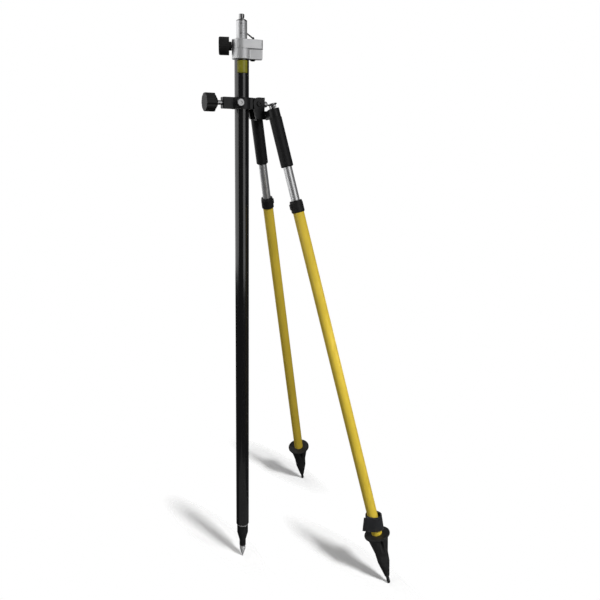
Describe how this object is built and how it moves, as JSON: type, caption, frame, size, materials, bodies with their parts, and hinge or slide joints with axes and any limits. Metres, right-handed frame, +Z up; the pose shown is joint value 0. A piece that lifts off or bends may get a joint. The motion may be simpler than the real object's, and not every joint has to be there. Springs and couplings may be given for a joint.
{
  "type": "survey bipod",
  "caption": "Telescopic black survey pole held upright by a clamp-on bipod with yellow thumb-release legs, spiked feet, a steel ground point and a top spigot for a target.",
  "frame": {"origin": "the pole's point on the ground", "axes": "+Z up along the pole, +X midway between the two legs, the front leg on the -Y side"},
  "size_m": [0.4097, 0.5413, 1.3272],
  "materials": {
    "pole_black": "gloss black lacquer",
    "bright_aluminium": "satin, fine turned lines",
    "black_anodised": "satin black",
    "bright_steel": "bright turned",
    "black_plastic": "fine moulded grain",
    "nylon": "natural",
    "yellow_paint": "satin golden yellow",
    "foam_grip": "matte, fine grain",
    "tip_rubber": "matte",
    "vial_glass": "clear over a pale green liquid",
    "strap_fabric": "looped pile"
  },
  "bodies": {
    "pole": {"pole_tube": "pole_black", "tip_insert": "bright_aluminium", "tip_ferrule": "black_anodised", "tip_nut": "black_anodised", "steel_point": "bright_steel", "lock_base": "bright_aluminium", "lock_head": "bright_aluminium", "guide_bush": "nylon", "vial_cup": "black_plastic", "vial_glass": "vial_glass", "adjust_screw": "black_plastic", "join_screws": "bright_steel", "pawl_base": "black_anodised", "pawl_pin": "bright_steel"},
    "inner_pole": {"inner_tube": "bright_aluminium", "top_spigot": "bright_steel", "inner_slider": "nylon"},
    "lock_pad": {"lock_pad": "nylon"},
    "lock_knob": {"lock_knob": "black_plastic", "lock_screw": "bright_steel"},
    "height_pawl": {"height_pawl": "black_anodised"},
    "clamp_bush": {"clamp_bush": "nylon"},
    "clamp": {"clamp_body": "black_anodised", "ring_screw": "bright_steel", "tension_screw": "bright_steel", "pivot_bolt": "black_anodised", "pivot_nut": "black_anodised"},
    "clamp_pad": {"clamp_pad": "nylon"},
    "clamp_knob": {"clamp_knob": "black_plastic", "clamp_screw": "bright_steel"},
    "front_bracket": {"front_bracket": "black_anodised"},
    "front_leg": {"front_splay_pin": "bright_steel", "front_leg_cap": "black_anodised", "front_leg_grip": "foam_grip", "front_upper_tube": "bright_aluminium", "front_lock_sleeve": "nylon", "front_button_spring": "bright_steel"},
    "front_button": {"front_thumb_button": "bright_steel", "front_push_rod": "bright_steel"},
    "front_lower": {"front_leg_collar": "black_plastic", "front_collar_bush": "nylon", "front_lower_tube": "yellow_paint", "front_leg_foot": "black_plastic", "front_foot_tip": "tip_rubber", "leg_strap": "strap_fabric"},
    "rear_bracket": {"rear_bracket": "black_anodised"},
    "rear_leg": {"rear_splay_pin": "bright_steel", "rear_leg_cap": "black_anodised", "rear_leg_grip": "foam_grip", "rear_upper_tube": "bright_aluminium", "rear_lock_sleeve": "nylon", "rear_button_spring": "bright_steel"},
    "rear_button": {"rear_thumb_button": "bright_steel", "rear_push_rod": "bright_steel"},
    "rear_lower": {"rear_leg_collar": "black_plastic", "rear_collar_bush": "nylon", "rear_lower_tube": "yellow_paint", "rear_leg_foot": "black_plastic", "rear_foot_tip": "tip_rubber"}
  },
  "joints": [
    {"name": "inner_pole_slide", "type": "slide", "parent": "pole", "child": "inner_pole", "axis": [0, 0, 1], "range_m": [0, 0.9]},
    {"name": "lock_pad_slide", "type": "slide", "parent": "pole", "child": "lock_pad", "axis": [-0.9272, 0.3746, 0], "range_m": [0, 0.00189]},
    {"name": "lock_knob_turn", "type": "hinge", "parent": "lock_pad", "child": "lock_knob", "pos_m": [0, 0, 1.2608], "axis": [-0.9272, 0.3746, 0], "range_deg": [0, 540]},
    {"name": "height_pawl_hinge", "type": "hinge", "parent": "pole", "child": "height_pawl", "pos_m": [0.02318, -0.00937, 1.2779], "axis": [0.3746, 0.9272, 0], "range_deg": [0, 50], "stiffness_Nm_per_rad": 0.004, "springref_deg": -17.19},
    {"name": "clamp_slide", "type": "slide", "parent": "pole", "child": "clamp_bush", "axis": [0, 0, 1], "range_m": [-0.6, 0.05]},
    {"name": "clamp_swivel", "type": "hinge", "parent": "clamp_bush", "child": "clamp", "pos_m": [0, 0, 1.141], "axis": [0, 0, 1], "continuous": true},
    {"name": "clamp_pad_slide", "type": "slide", "parent": "clamp", "child": "clamp_pad", "axis": [-1, 0, 0], "range_m": [0, 0.00301]},
    {"name": "clamp_knob_turn", "type": "hinge", "parent": "clamp_pad", "child": "clamp_knob", "pos_m": [0, 0, 1.141], "axis": [-1, 0, 0], "range_deg": [0, 720]},
    {"name": "front_swing", "type": "hinge", "parent": "clamp", "child": "front_bracket", "pos_m": [0.033, 0, 1.141], "axis": [0, -1, 0], "range_deg": [-11.6, 25]},
    {"name": "front_splay", "type": "hinge", "parent": "front_bracket", "child": "front_leg", "pos_m": [0.05692, -0.0302, 1.11646], "axis": [-0.9796, 0, -0.2011], "range_deg": [-10, 12]},
    {"name": "front_extension", "type": "slide", "parent": "front_leg", "child": "front_lower", "axis": [0.198, -0.1736, -0.9647], "range_m": [-0.071, 0.4]},
    {"name": "front_release", "type": "slide", "parent": "front_leg", "child": "front_button", "axis": [0.198, -0.1736, -0.9647], "range_m": [0, 0.008], "stiffness_N_per_m": 800, "springref_m": -0.006, "deforming": ["front_button_spring"]},
    {"name": "rear_swing", "type": "hinge", "parent": "clamp", "child": "rear_bracket", "pos_m": [0.033, 0, 1.141], "axis": [0, -1, 0], "range_deg": [-13.2, 25]},
    {"name": "rear_splay", "type": "hinge", "parent": "rear_bracket", "child": "rear_leg", "pos_m": [0.0576, 0.0302, 1.11714], "axis": [0.9736, 0, 0.2284], "range_deg": [-11, 12]},
    {"name": "rear_extension", "type": "slide", "parent": "rear_leg", "child": "rear_lower", "axis": [0.2242, 0.1908, -0.9557], "range_m": [-0.083, 0.4]},
    {"name": "rear_release", "type": "slide", "parent": "rear_leg", "child": "rear_button", "axis": [0.2242, 0.1908, -0.9557], "range_m": [0, 0.008], "stiffness_N_per_m": 800, "springref_m": -0.006, "deforming": ["rear_button_spring"]}
  ],
  "couplings": [
    {"joint": "lock_pad_slide", "follows": "lock_knob_turn", "m_per_rad": 0.00019894},
    {"joint": "clamp_pad_slide", "follows": "clamp_knob_turn", "m_per_rad": 0.00023873}
  ]
}
